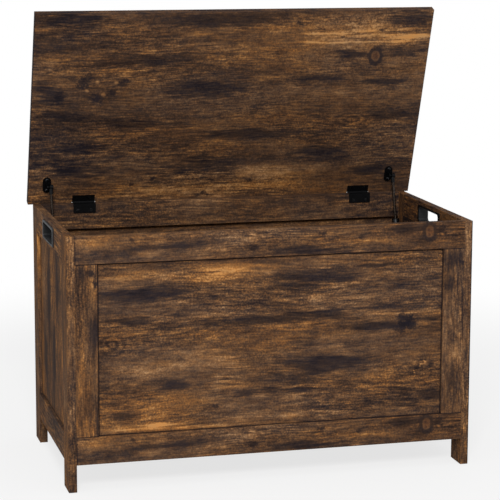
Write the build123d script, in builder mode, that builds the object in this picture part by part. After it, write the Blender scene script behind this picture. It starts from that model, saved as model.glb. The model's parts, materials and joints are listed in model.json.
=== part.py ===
"""Storage bench: a framed chest on four feet, with a lid on two hinges and two gas stays."""

import os
from math import atan2, cos, degrees, hypot, radians, sin

from build123d import *

os.makedirs("parts", exist_ok=True)

# Chest
body_width = 760.0
body_depth = 390.0
body_height = 465.0
foot_height = 50.0
frame_thickness = 15.0
side_stile_width = 50.0
front_stile_width = 40.0
rail_height = 50.0
edge_break = 0.5

# Panels and boards let into the frames
panel_thickness = 9.0
panel_rebate = 6.0
panel_play = 0.3
back_board_thickness = 5.0
floor_thickness = 15.0
floor_lift = 1.0

# Stub tenons of the glued frames
tenon_length = 10.0
tenon_thickness = 6.0
tenon_shoulder = 10.0
tenon_play = 0.15

# Lid, shown open
lid_width = 780.0
lid_depth = 400.0
lid_thickness = 15.0
lid_back_lap = 1.5
rim_gap = 0.5
open_angle = 70.0

# Hand holes
grip_length = 106.0
grip_height = 28.0
grip_radius = 6.0
sleeve_wall = 1.5
sleeve_play = 0.3
ring_play = 0.05
flange_end = 7.0
flange_edge = 3.5
flange_thickness = 2.5
ring_thickness = 2.0

# Hinges
hinge_inset = 99.0
hinge_length = 44.0
barrel_radius = 2.75
pin_radius = 1.25
pin_play = 0.05
pin_head_radius = 2.2
pin_head_length = 0.8
leaf_thickness = 1.5
leaf_play = 0.3
lid_leaf_reach = 15.5
body_leaf_drop = 18.5
leaf_corner = 0.8
leaf_screw_spacing = 26.0
leaf_screw_inset = 5.5

# Wood screws
screw_radius = 1.5
screw_length = 11.0
panel_screw_length = 7.0
screw_play = 0.15
flat_head_radius = 3.0
round_head_radius = 3.3
round_head_height = 1.8
recess_length = 3.4
recess_width = 0.8
recess_depth = 0.9
back_screw_count = 5
back_screw_spacing = 150.0
back_screw_length = 8.0

# Gas stays
stay_inset = 17.0
stud_reach = 41.0
stud_drop = 10.0
stay_pivot_setback = 90.0
stay_pivot_drop = 210.0
plate_length = 33.0
plate_width = 16.0
plate_thickness = 2.0
plate_screw_spacing = 22.0
lug_width = 8.0
lug_thickness = 2.0
stud_offset = 6.5
stud_radius = 1.75
ball_radius = 3.25
ball_play = 0.1
socket_radius = 4.75
socket_lip = 1.75
socket_cap = 4.5
socket_shank_radius = 3.75
socket_shank_length = 14.0
rod_radius = 2.5
rod_seat = 7.0
rod_play = 0.05
tube_radius = 7.5
tube_wall = 1.0
tube_length = 150.0
tube_floor = 3.0
guide_length = 12.0
guide_flange = 2.0
guide_play = 0.05
piston_length = 10.0
piston_gap = 2.0
piston_play = 0.1
eye_neck_length = 14.0
eye_neck_radius = 2.75
eye_thickness = 6.0
eye_wall = 3.5
eye_pin_radius = 3.0
eye_pin_play = 0.4
eye_side_play = 0.5
eye_collar_radius = 4.5
eye_head_length = 1.5
eye_head_lap = 0.9

# Knock-down fittings
dowel_radius = 4.0
dowel_length = 30.0
dowel_depth = 9.0
dowel_offset = 15.0
fitting_play = 0.1
bolt_radius = 2.5
bolt_thread_radius = 3.0
bolt_thread_length = 10.0
bolt_head_radius = 3.5
bolt_head_length = 4.0
bolt_reach = 34.0
cam_radius = 7.4
cam_length = 12.0
cam_sink = 0.2
cam_slot = 7.8
cam_recess_length = 9.0
cam_recess_width = 1.6
cam_recess_depth = 1.5
floor_bolt_spacing = 220.0
floor_dowel_spacing = 120.0

SIDES = (("left", -1), ("right", 1))

# Places worked out from the sizes above: X to the right, Y to the back, Z up from the floor,
# with the open bench's plan centred on the origin
lid_under = rim_gap / 2
open_turn = radians(open_angle)
open_lid_back = (lid_under + lid_thickness) * sin(open_turn) + lid_back_lap * cos(open_turn)
front_y = -(body_depth + open_lid_back) / 2
back_y = front_y + body_depth
middle_y = (front_y + back_y) / 2
inside_x = body_width / 2 - frame_thickness
front_inside_y = front_y + frame_thickness
back_inside_y = back_y - frame_thickness
side_opening_front = front_y + side_stile_width
side_opening_back = back_y - side_stile_width
front_opening_x = inside_x - front_stile_width
bottom_rail_low = foot_height
opening_low = foot_height + rail_height
opening_high = body_height - rail_height
bottom_rail_middle = (bottom_rail_low + opening_low) / 2
top_rail_middle = (opening_high + body_height) / 2
floor_low = bottom_rail_low + floor_lift
floor_middle = floor_low + floor_thickness / 2
hinge_y = back_y
hinge_z = body_height + rim_gap / 2
hinge_middle_x = body_width / 2 - hinge_inset
stay_x = inside_x - stay_inset
knuckle_length = hinge_length / 3
leaf_seat = hinge_length / 2 + leaf_play
barrel_seat = leaf_seat + pin_head_length
barrel_clear = barrel_radius + leaf_play

# Rail heights with the bolt's height and the dowel's height
RAILS = (
    ("bottom", bottom_rail_low, opening_low, bottom_rail_middle, bottom_rail_middle - dowel_offset),
    ("top", opening_high, body_height, top_rail_middle, top_rail_middle + dowel_offset),
)


def stud_place(angle):
    """Y and Z of the lid stud from the hinge axis, with the lid open by an angle."""
    turn = radians(angle)
    below = lid_under - stud_drop
    return below * sin(turn) - stud_reach * cos(turn), below * cos(turn) + stud_reach * sin(turn)


def stay_line(angle):
    """Length of a stay, and its lean to the back in degrees, with the lid open by an angle."""
    stud_y, stud_z = stud_place(angle)
    run = stud_y + stay_pivot_setback
    rise = stud_z + stay_pivot_drop
    return hypot(run, rise), degrees(atan2(run, rise))


stay_open, lean_open = stay_line(open_angle)
stay_closed, lean_closed = stay_line(0)


def eye_slip(share):
    """How far the lower pin moves in the eye, across and along the stay, at a share of the lid's travel.

    The stay's turn and slide keep a constant ratio to the lid, so the eye follows its pin only at both ends.
    """
    stud_y, stud_z = stud_place(open_angle * share)
    length = stay_closed + (stay_open - stay_closed) * share
    lean = radians(lean_closed + (lean_open - lean_closed) * share)
    off_y = -stay_pivot_setback - stud_y + length * sin(lean)
    off_z = -stay_pivot_drop - stud_z + length * cos(lean)
    return off_y * cos(lean) - off_z * sin(lean), off_y * sin(lean) + off_z * cos(lean)


travel_steps = 40
slips = [eye_slip(step / travel_steps) for step in range(travel_steps + 1)]
eye_slot_back = max(across for across, along in slips)
eye_slot_front = min(across for across, along in slips)
eye_slot_radius = eye_pin_radius + eye_pin_play + max(abs(along) for across, along in slips)


def keep(piece, name):
    """Labels a finished piece and writes it."""
    piece.part.label = name
    export_step(piece.part, f"parts/{name}.step")


def block(low, high, mode=Mode.ADD):
    """A box between two opposite corners."""
    middle = tuple((a + b) / 2 for a, b in zip(low, high))
    size = tuple(abs(b - a) for a, b in zip(low, high))
    with Locations(middle):
        Box(*size, mode=mode)


def rod(place, radius, start, end, mode=Mode.ADD):
    """A round bar along a plane's normal, from one height to another."""
    low = min(start, end)
    with Locations(place.location * Location((0, 0, low))):
        Cylinder(radius, abs(end - start), align=(Align.CENTER, Align.CENTER, Align.MIN), mode=mode)


def facing(point, direction, x_dir=None):
    """A plane at a point whose normal is a direction."""
    return Plane(origin=point, x_dir=x_dir, z_dir=direction)


def hinge_plane(x, angle):
    """A plane across the hinge axis: its x runs back along the lid, its y out of the lid's top."""
    turn = radians(angle)
    return Plane(origin=(x, hinge_y, hinge_z), x_dir=(0, cos(turn), -sin(turn)), z_dir=(1, 0, 0))


def lid_spot(x, back, up):
    """A plane at a place on the open lid, its normal out of the lid's inner face."""
    across = hinge_plane(x, open_angle)
    return facing(across.from_local_coords((back, up, 0)), -across.y_dir, (1, 0, 0))


def stay_plane(x):
    """A plane at the lid stud of a stay: its z runs up the stay, its y to the back."""
    stud_y, stud_z = stud_place(open_angle)
    lean = radians(lean_open)
    return facing((x, hinge_y + stud_y, hinge_z + stud_z), (0, sin(lean), cos(lean)), (1, 0, 0))


def cross_recess(place, top, length, width, depth):
    """A cross recess for a driver, cut down from a height over a plane."""
    with Locations(place.location * Location((0, 0, top))):
        Box(length, width, depth, align=(Align.CENTER, Align.CENTER, Align.MAX), mode=Mode.SUBTRACT)
        Box(width, length, depth, align=(Align.CENTER, Align.CENTER, Align.MAX), mode=Mode.SUBTRACT)


def back_screw_spots(edge, toward_rail):
    """Planes on the back board's outer face for the screws along one of its edges."""
    first = -(back_screw_count - 1) / 2
    height = edge + toward_rail * panel_rebate / 2
    return [
        facing(((first + place) * back_screw_spacing, back_y, height), (0, 1, 0))
        for place in range(back_screw_count)
    ]


def drill_side(side, y, with_bolt_at, with_dowel_at):
    """Holes for a cam bolt and a dowel in the inner face of a side."""
    for height, radius, depth in (
        (with_bolt_at, bolt_thread_radius, bolt_thread_length),
        (with_dowel_at, dowel_radius, dowel_depth),
    ):
        spot = facing((side * inside_x, y, height), (side, 0, 0))
        rod(spot, radius + fitting_play, 0, depth + fitting_play, Mode.SUBTRACT)


def drill_rail_end(side, y, bolt_z, dowel_z):
    """Holes for a cam bolt, its cam lock and a dowel in one end of a rail."""
    bolt_spot = facing((side * inside_x, y, bolt_z), (-side, 0, 0))
    dowel_spot = facing((side * inside_x, y, dowel_z), (-side, 0, 0))
    rod(bolt_spot, bolt_head_radius + fitting_play, 0, bolt_reach, Mode.SUBTRACT)
    rod(dowel_spot, dowel_radius + fitting_play, 0, dowel_length - dowel_depth + fitting_play, Mode.SUBTRACT)
    mouth = facing((side * (inside_x - bolt_reach), y + frame_thickness / 2, bolt_z), (0, 1, 0))
    rod(mouth, cam_radius + fitting_play, -(cam_length + cam_sink), 0, Mode.SUBTRACT)


# Side frames: stiles that run down to the feet, rails tenoned between them, panels let in from inside
for side_name, side in SIDES:
    outer_x = side * body_width / 2
    inner_x = side * inside_x
    rebate_x = inner_x + side * panel_thickness
    tenon_in = inner_x + side * (frame_thickness - tenon_thickness) / 2
    tenon_out = tenon_in + side * tenon_thickness

    for end_name, end, edge_y, shoulder_y in (
        ("front", -1, front_y, side_opening_front),
        ("rear", 1, back_y, side_opening_back),
    ):
        with BuildPart() as stile:
            block((inner_x, edge_y, 0), (outer_x, shoulder_y, body_height))
            chamfer(stile.edges(), edge_break)
            block(
                (inner_x, shoulder_y, opening_low - panel_rebate),
                (rebate_x, shoulder_y + end * panel_rebate, opening_high + panel_rebate),
                Mode.SUBTRACT,
            )
            for rail_name, low, high, bolt_z, dowel_z in RAILS:
                block(
                    (tenon_in - side * tenon_play, shoulder_y, low + tenon_shoulder - tenon_play),
                    (
                        tenon_out + side * tenon_play,
                        shoulder_y + end * (tenon_length + tenon_play),
                        high - tenon_shoulder + tenon_play,
                    ),
                    Mode.SUBTRACT,
                )
                drill_side(side, edge_y - end * frame_thickness / 2, bolt_z, dowel_z)
        keep(stile, f"{side_name}_{end_name}_side_stile")

    for rail_name, low, high, bolt_z, dowel_z in RAILS:
        with BuildPart() as side_rail:
            block((inner_x, side_opening_front, low), (outer_x, side_opening_back, high))
            chamfer(side_rail.edges().filter_by(Axis.Y), edge_break)
            block(
                (tenon_in, side_opening_front - tenon_length, low + tenon_shoulder),
                (tenon_out, side_opening_back + tenon_length, high - tenon_shoulder),
            )
            inner_edge = high if rail_name == "bottom" else low
            toward_rail = -1 if rail_name == "bottom" else 1
            block(
                (inner_x, side_opening_front, inner_edge),
                (rebate_x, side_opening_back, inner_edge + toward_rail * panel_rebate),
                Mode.SUBTRACT,
            )
            if rail_name == "top":
                with BuildSketch(Plane.YZ.offset(inner_x)) as hand_hole:
                    with Locations((middle_y, top_rail_middle)):
                        RectangleRounded(
                            grip_length + 2 * (sleeve_wall + sleeve_play),
                            grip_height + 2 * (sleeve_wall + sleeve_play),
                            grip_radius + sleeve_wall + sleeve_play,
                        )
                extrude(amount=side * frame_thickness, mode=Mode.SUBTRACT)
            else:
                for place in (-1, 1):
                    for spacing, radius, depth in (
                        (floor_bolt_spacing, bolt_thread_radius, bolt_thread_length),
                        (floor_dowel_spacing, dowel_radius, dowel_depth),
                    ):
                        spot = facing((inner_x, middle_y + place * spacing / 2, floor_middle), (side, 0, 0))
                        rod(spot, radius + fitting_play, 0, depth + fitting_play, Mode.SUBTRACT)
        keep(side_rail, f"{side_name}_{rail_name}_side_rail")

    with BuildPart() as side_panel:
        block(
            (
                inner_x,
                side_opening_front - panel_rebate + panel_play,
                opening_low - panel_rebate + panel_play,
            ),
            (
                rebate_x,
                side_opening_back + panel_rebate - panel_play,
                opening_high + panel_rebate - panel_play,
            ),
        )
        for along in (-1, 1):
            screw_z = hinge_z - stay_pivot_drop + along * plate_screw_spacing / 2
            spot = facing((inner_x, hinge_y - stay_pivot_setback, screw_z), (side, 0, 0))
            rod(spot, screw_radius + screw_play, 0, panel_screw_length + screw_play, Mode.SUBTRACT)
    keep(side_panel, f"{side_name}_side_panel")

# Front frame: rails between the side frames, stiles tenoned between the rails, panel let in from inside
front_panel_face = front_inside_y - panel_thickness
front_tenon = front_y + (frame_thickness - tenon_thickness) / 2
for rail_name, low, high, bolt_z, dowel_z in RAILS:
    with BuildPart() as front_rail:
        block((-inside_x, front_y, low), (inside_x, front_inside_y, high))
        chamfer(front_rail.edges().filter_by(Axis.X), edge_break)
        inner_edge = high if rail_name == "bottom" else low
        toward_rail = -1 if rail_name == "bottom" else 1
        block(
            (-front_opening_x - panel_rebate, front_panel_face, inner_edge),
            (front_opening_x + panel_rebate, front_inside_y, inner_edge + toward_rail * panel_rebate),
            Mode.SUBTRACT,
        )
        for side_name, side in SIDES:
            block(
                (
                    side * (front_opening_x + tenon_shoulder - tenon_play),
                    front_tenon - tenon_play,
                    inner_edge,
                ),
                (
                    side * (inside_x - tenon_shoulder + tenon_play),
                    front_tenon + tenon_thickness + tenon_play,
                    inner_edge + toward_rail * (tenon_length + tenon_play),
                ),
                Mode.SUBTRACT,
            )
            drill_rail_end(side, front_y + frame_thickness / 2, bolt_z, dowel_z)
    keep(front_rail, f"front_{rail_name}_rail")

for side_name, side in SIDES:
    with BuildPart() as front_stile:
        block(
            (side * front_opening_x, front_y, opening_low),
            (side * inside_x, front_inside_y, opening_high),
        )
        chamfer(front_stile.edges().filter_by(Axis.Z), edge_break)
        block(
            (side * (front_opening_x + tenon_shoulder), front_tenon, opening_low - tenon_length),
            (
                side * (inside_x - tenon_shoulder),
                front_tenon + tenon_thickness,
                opening_high + tenon_length,
            ),
        )
        block(
            (side * front_opening_x, front_panel_face, opening_low),
            (side * (front_opening_x + panel_rebate), front_inside_y, opening_high),
            Mode.SUBTRACT,
        )
    keep(front_stile, f"front_{side_name}_stile")

with BuildPart() as front_panel:
    panel_x = front_opening_x + panel_rebate - panel_play
    block(
        (-panel_x, front_panel_face, opening_low - panel_rebate + panel_play),
        (panel_x, front_inside_y, opening_high + panel_rebate - panel_play),
    )
keep(front_panel, "front_panel")

# Back: two rails between the side frames, and a thin board let into them from behind
for rail_name, low, high, bolt_z, dowel_z in RAILS:
    with BuildPart() as back_rail:
        block((-inside_x, back_inside_y, low), (inside_x, back_y, high))
        chamfer(back_rail.edges().filter_by(Axis.X), edge_break)
        inner_edge = high if rail_name == "bottom" else low
        toward_rail = -1 if rail_name == "bottom" else 1
        block(
            (-inside_x, back_y - back_board_thickness, inner_edge),
            (inside_x, back_y, inner_edge + toward_rail * panel_rebate),
            Mode.SUBTRACT,
        )
        back_screw_end = -(back_board_thickness + back_screw_length + screw_play)
        for spot in back_screw_spots(inner_edge, toward_rail):
            rod(spot, screw_radius + screw_play, back_screw_end, 0, Mode.SUBTRACT)
        for side_name, side in SIDES:
            drill_rail_end(side, back_y - frame_thickness / 2, bolt_z, dowel_z)
            if rail_name == "top":
                hinge_x = side * hinge_middle_x
                block(
                    (hinge_x - leaf_seat, back_inside_y, body_height - leaf_thickness),
                    (hinge_x + leaf_seat, back_y, body_height),
                    Mode.SUBTRACT,
                )
                block(
                    (hinge_x - barrel_seat, hinge_y - barrel_clear, hinge_z - barrel_clear),
                    (hinge_x + barrel_seat, back_y, body_height),
                    Mode.SUBTRACT,
                )
                for across in (-1, 1):
                    spot = facing(
                        (
                            hinge_x + across * leaf_screw_spacing / 2,
                            back_inside_y,
                            body_height - body_leaf_drop + leaf_screw_inset,
                        ),
                        (0, 1, 0),
                    )
                    rod(spot, screw_radius + screw_play, 0, screw_length + screw_play, Mode.SUBTRACT)
    keep(back_rail, f"back_{rail_name}_rail")

with BuildPart() as back_board:
    board_x = inside_x - panel_play
    block(
        (-board_x, back_y - back_board_thickness, opening_low - panel_rebate + panel_play),
        (board_x, back_y, opening_high + panel_rebate - panel_play),
    )
    for edge, toward_rail in ((opening_low, -1), (opening_high, 1)):
        for spot in back_screw_spots(edge, toward_rail):
            rod(spot, screw_radius + screw_play, -back_board_thickness, 0, Mode.SUBTRACT)
keep(back_board, "back_board")

# Floor board, held by cam bolts and dowels in the side frames
with BuildPart() as floor_board:
    block(
        (-inside_x, front_inside_y, floor_low),
        (inside_x, back_inside_y, floor_low + floor_thickness),
    )
    for side_name, side in SIDES:
        for place in (-1, 1):
            bolt_y = middle_y + place * floor_bolt_spacing / 2
            dowel_y = middle_y + place * floor_dowel_spacing / 2
            bolt_spot = facing((side * inside_x, bolt_y, floor_middle), (-side, 0, 0))
            dowel_spot = facing((side * inside_x, dowel_y, floor_middle), (-side, 0, 0))
            mouth = facing((side * (inside_x - bolt_reach), bolt_y, floor_low), (0, 0, -1))
            rod(bolt_spot, bolt_head_radius + fitting_play, 0, bolt_reach, Mode.SUBTRACT)
            dowel_in = dowel_length - dowel_depth + fitting_play
            rod(dowel_spot, dowel_radius + fitting_play, 0, dowel_in, Mode.SUBTRACT)
            rod(mouth, cam_radius + fitting_play, -(cam_length + cam_sink), 0, Mode.SUBTRACT)
keep(floor_board, "floor_board")

# Knock-down fittings, one place for each: side, Y, bolt height, dowel Y and height, cam mouth direction
fitting_places = []
for side_name, side in SIDES:
    for rail_y in (front_y + frame_thickness / 2, back_y - frame_thickness / 2):
        for rail_name, low, high, bolt_z, dowel_z in RAILS:
            mouth_point = (side * (inside_x - bolt_reach), rail_y + frame_thickness / 2, bolt_z)
            fitting_places.append(
                (side, (rail_y, bolt_z), (rail_y, dowel_z), mouth_point, (0, 1, 0), frame_thickness / 2)
            )
    for place in (-1, 1):
        bolt_y = middle_y + place * floor_bolt_spacing / 2
        dowel_y = middle_y + place * floor_dowel_spacing / 2
        mouth_point = (side * (inside_x - bolt_reach), bolt_y, floor_low)
        fitting_places.append(
            (
                side,
                (bolt_y, floor_middle),
                (dowel_y, floor_middle),
                mouth_point,
                (0, 0, -1),
                floor_thickness / 2,
            )
        )

with BuildPart() as dowels:
    for side, bolt_at, dowel_at, mouth_point, mouth_dir, axis_depth in fitting_places:
        rod(
            facing((side * inside_x, *dowel_at), (side, 0, 0)),
            dowel_radius,
            dowel_depth - dowel_length,
            dowel_depth,
        )
keep(dowels, "wood_dowels")

with BuildPart() as cam_bolts:
    for side, bolt_at, dowel_at, mouth_point, mouth_dir, axis_depth in fitting_places:
        spot = facing((side * inside_x, *bolt_at), (side, 0, 0))
        head_start = -bolt_reach - bolt_head_length / 2
        rod(spot, bolt_thread_radius, 0, bolt_thread_length)
        rod(spot, bolt_radius, head_start, 0)
        rod(spot, bolt_head_radius, head_start, head_start + bolt_head_length)
keep(cam_bolts, "cam_bolts")

with BuildPart() as cam_locks:
    for side, bolt_at, dowel_at, mouth_point, mouth_dir, axis_depth in fitting_places:
        spot = facing(mouth_point, mouth_dir, (side, 0, 0))
        rod(spot, cam_radius, -(cam_length + cam_sink), -cam_sink)
        channel = cam_radius + cam_slot / 2
        with Locations(spot.location * Location((cam_radius - channel / 2, 0, -axis_depth))):
            Box(channel, cam_slot, cam_slot, mode=Mode.SUBTRACT)
        cross_recess(spot, -cam_sink, cam_recess_length, cam_recess_width, cam_recess_depth)
keep(cam_locks, "cam_locks")

# Hand-hole inserts: a sleeve with a flange outside, and a ring that closes it inside
for side_name, side in SIDES:
    outer_x = side * body_width / 2
    inner_x = side * inside_x
    sleeve_size = (grip_length + 2 * sleeve_wall, grip_height + 2 * sleeve_wall)
    flange_size = (grip_length + 2 * flange_end, grip_height + 2 * flange_edge)
    with BuildPart() as insert:
        with BuildSketch(Plane.YZ.offset(outer_x)) as flange:
            with Locations((middle_y, top_rail_middle)):
                RectangleRounded(*flange_size, flange_edge)
        extrude(amount=side * flange_thickness)
        outside_edges = insert.faces().sort_by(Axis.X)[-1 if side > 0 else 0].edges()
        chamfer(outside_edges, flange_thickness / 3)
        with BuildSketch(Plane.YZ.offset(outer_x)) as sleeve:
            with Locations((middle_y, top_rail_middle)):
                RectangleRounded(*sleeve_size, grip_radius + sleeve_wall)
        extrude(amount=-side * (frame_thickness + ring_thickness))
        with BuildSketch(Plane.YZ.offset(outer_x + side * flange_thickness)) as grip:
            with Locations((middle_y, top_rail_middle)):
                RectangleRounded(grip_length, grip_height, grip_radius)
        extrude(amount=-side * (flange_thickness + frame_thickness + ring_thickness), mode=Mode.SUBTRACT)
    keep(insert, f"{side_name}_hand_hole_insert")

    with BuildPart() as ring:
        with BuildSketch(Plane.YZ.offset(inner_x)) as ring_face:
            with Locations((middle_y, top_rail_middle)):
                RectangleRounded(*flange_size, flange_edge)
                RectangleRounded(
                    sleeve_size[0] + 2 * ring_play,
                    sleeve_size[1] + 2 * ring_play,
                    grip_radius + sleeve_wall + ring_play,
                    mode=Mode.SUBTRACT,
                )
        extrude(amount=-side * ring_thickness)
    keep(ring, f"{side_name}_hand_hole_ring")

# Lid, with a rebate under each hinge leaf and a notch for each barrel
with BuildPart() as lid_board:
    with BuildSketch(hinge_plane(-lid_width / 2, open_angle)) as lid_section:
        with Locations((lid_back_lap, lid_under)):
            Rectangle(lid_depth, lid_thickness, align=(Align.MAX, Align.MIN))
    extrude(amount=lid_width)
    chamfer(lid_board.edges(), edge_break)
    for side_name, side in SIDES:
        hinge_x = side * hinge_middle_x
        for half, back, up in (
            (leaf_seat, lid_leaf_reach + leaf_play, lid_under + leaf_thickness),
            (barrel_seat, barrel_clear, barrel_clear),
        ):
            with BuildSketch(hinge_plane(hinge_x - half, open_angle)) as seat:
                with Locations((lid_back_lap, 0)):
                    Rectangle(back + lid_back_lap, up, align=(Align.MAX, Align.MIN))
            extrude(amount=2 * half, mode=Mode.SUBTRACT)
        for across in (-1, 1):
            spot = lid_spot(
                hinge_x + across * leaf_screw_spacing / 2,
                leaf_screw_inset - lid_leaf_reach,
                lid_under + leaf_thickness,
            )
            rod(spot, screw_radius + screw_play, -(screw_length + screw_play), 0, Mode.SUBTRACT)
        plate_x = side * stay_x - stud_offset
        for along in (-1, 1):
            spot = lid_spot(plate_x, along * plate_screw_spacing / 2 - stud_reach, lid_under)
            rod(spot, screw_radius + screw_play, -(screw_length + screw_play), 0, Mode.SUBTRACT)
keep(lid_board, "lid_board")

# Hinges: a leaf that wraps over the back rail, a lid leaf, and a pin through their knuckles
bore_radius = pin_radius + pin_play
for side_name, side in SIDES:
    hinge_x = side * hinge_middle_x
    left_x = hinge_x - hinge_length / 2
    wrap = frame_thickness + leaf_thickness
    leaf_top = -lid_under
    with BuildPart() as body_leaf:
        with BuildSketch(hinge_plane(left_x, 0)) as wrap_section:
            with Locations((-wrap, leaf_top)):
                Rectangle(wrap - barrel_clear, leaf_thickness, align=(Align.MIN, Align.MAX))
                Rectangle(leaf_thickness, body_leaf_drop, align=(Align.MIN, Align.MAX))
        extrude(amount=hinge_length)
        lower_corners = body_leaf.edges().filter_by(Axis.Y).group_by(Axis.Z)[0]
        chamfer(lower_corners, leaf_corner)
        for start in (left_x, left_x + 2 * knuckle_length + leaf_play):
            with BuildSketch(hinge_plane(start, 0)) as knuckle:
                Circle(barrel_radius)
                with Locations((0, leaf_top)):
                    Rectangle(barrel_clear, leaf_thickness, align=(Align.MAX, Align.MAX))
                Circle(bore_radius, mode=Mode.SUBTRACT)
            extrude(amount=knuckle_length - leaf_play)
        screw_height = body_height - body_leaf_drop + leaf_screw_inset
        for across in (-1, 1):
            face = (hinge_x + across * leaf_screw_spacing / 2, back_inside_y - leaf_thickness, screw_height)
            with Locations(facing(face, (0, -1, 0)).location):
                CounterSinkHole(
                    screw_radius + screw_play,
                    flat_head_radius + screw_play,
                    depth=leaf_thickness,
                    counter_sink_angle=90,
                )
    keep(body_leaf, f"{side_name}_hinge_body_leaf")

    with BuildPart() as lid_leaf:
        with BuildSketch(hinge_plane(left_x, open_angle)) as plate_section:
            with Locations((-barrel_clear, lid_under)):
                Rectangle(lid_leaf_reach - barrel_clear, leaf_thickness, align=(Align.MAX, Align.MIN))
        extrude(amount=hinge_length)
        with BuildSketch(hinge_plane(left_x + knuckle_length, open_angle)) as knuckle:
            Circle(barrel_radius)
            with Locations((0, lid_under)):
                Rectangle(barrel_clear, leaf_thickness, align=(Align.MAX, Align.MIN))
            Circle(bore_radius, mode=Mode.SUBTRACT)
        extrude(amount=knuckle_length)
        for across in (-1, 1):
            spot = lid_spot(
                hinge_x + across * leaf_screw_spacing / 2, leaf_screw_inset - lid_leaf_reach, lid_under
            )
            with Locations(spot.location):
                CounterSinkHole(
                    screw_radius + screw_play,
                    flat_head_radius + screw_play,
                    depth=leaf_thickness,
                    counter_sink_angle=90,
                )
    keep(lid_leaf, f"{side_name}_hinge_lid_leaf")

    with BuildPart() as hinge_pin:
        along = facing((left_x, hinge_y, hinge_z), (1, 0, 0))
        rod(along, pin_radius, 0, hinge_length)
        rod(along, pin_head_radius, -pin_head_length, 0)
        rod(along, pin_head_radius, hinge_length, hinge_length + pin_head_length)
    keep(hinge_pin, f"{side_name}_hinge_pin")


def flat_screw(place):
    """A countersunk wood screw whose head lies flush with a plane."""
    head_depth = flat_head_radius - screw_radius
    with Locations(place.location * Location((0, 0, -head_depth))):
        Cone(screw_radius, flat_head_radius, head_depth, align=(Align.CENTER, Align.CENTER, Align.MIN))
    rod(place, screw_radius, -(leaf_thickness + screw_length), -head_depth)
    cross_recess(place, 0, recess_length, recess_width, recess_depth)


def round_screw(place, length, radius=round_head_radius):
    """A round-headed wood screw whose head stands on a plane, with its length below that plane."""
    step = round_head_height / 3
    shoulder = (radius * 2 + screw_radius) / 3
    rod(place, radius, 0, step)
    for low_radius, high_radius, low in ((radius, shoulder, step), (shoulder, screw_radius, 2 * step)):
        with Locations(place.location * Location((0, 0, low))):
            Cone(low_radius, high_radius, step, align=(Align.CENTER, Align.CENTER, Align.MIN))
    rod(place, screw_radius, -length, 0)
    cross_recess(place, round_head_height, recess_length, recess_width, recess_depth)


with BuildPart() as hinge_body_screws:
    for side_name, side in SIDES:
        for across in (-1, 1):
            flat_screw(
                facing(
                    (
                        side * hinge_middle_x + across * leaf_screw_spacing / 2,
                        back_inside_y - leaf_thickness,
                        body_height - body_leaf_drop + leaf_screw_inset,
                    ),
                    (0, -1, 0),
                )
            )
keep(hinge_body_screws, "hinge_body_screws")

with BuildPart() as hinge_lid_screws:
    for side_name, side in SIDES:
        for across in (-1, 1):
            screw_x = side * hinge_middle_x + across * leaf_screw_spacing / 2
            flat_screw(lid_spot(screw_x, leaf_screw_inset - lid_leaf_reach, lid_under))
keep(hinge_lid_screws, "hinge_lid_screws")

# Lid brackets: an oblong plate with a lug, and a ball stud that points to the right on both
for side_name, side in SIDES:
    plate_x = side * stay_x - stud_offset
    seat = lid_spot(plate_x, -stud_reach, lid_under)
    with BuildPart() as lid_bracket:
        with BuildSketch(seat) as plate_outline:
            SlotOverall(plate_length, plate_width, rotation=90)
            with GridLocations(0, plate_screw_spacing, 1, 2):
                Circle(screw_radius + screw_play, mode=Mode.SUBTRACT)
        extrude(amount=plate_thickness)
        lug_face = facing(seat.from_local_coords((-lug_thickness / 2, 0, 0)), (1, 0, 0), seat.y_dir)
        with BuildSketch(lug_face) as lug:
            Rectangle(lug_width, stud_drop, align=(Align.CENTER, Align.MIN))
            with Locations((0, stud_drop)):
                Circle(lug_width / 2)
        extrude(amount=lug_thickness)
        stud = facing(seat.from_local_coords((0, 0, stud_drop)), (1, 0, 0))
        rod(stud, stud_radius, 0, stud_offset)
        with Locations(stud.location * Location((0, 0, stud_offset))):
            Sphere(ball_radius)
    keep(lid_bracket, f"{side_name}_stay_lid_bracket")

with BuildPart() as stay_lid_screws:
    for side_name, side in SIDES:
        plate_x = side * stay_x - stud_offset
        for along in (-1, 1):
            screw_back = along * plate_screw_spacing / 2 - stud_reach
            head = lid_spot(plate_x, screw_back, lid_under - plate_thickness)
            round_screw(head, plate_thickness + screw_length)
keep(stay_lid_screws, "stay_lid_screws")

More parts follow.
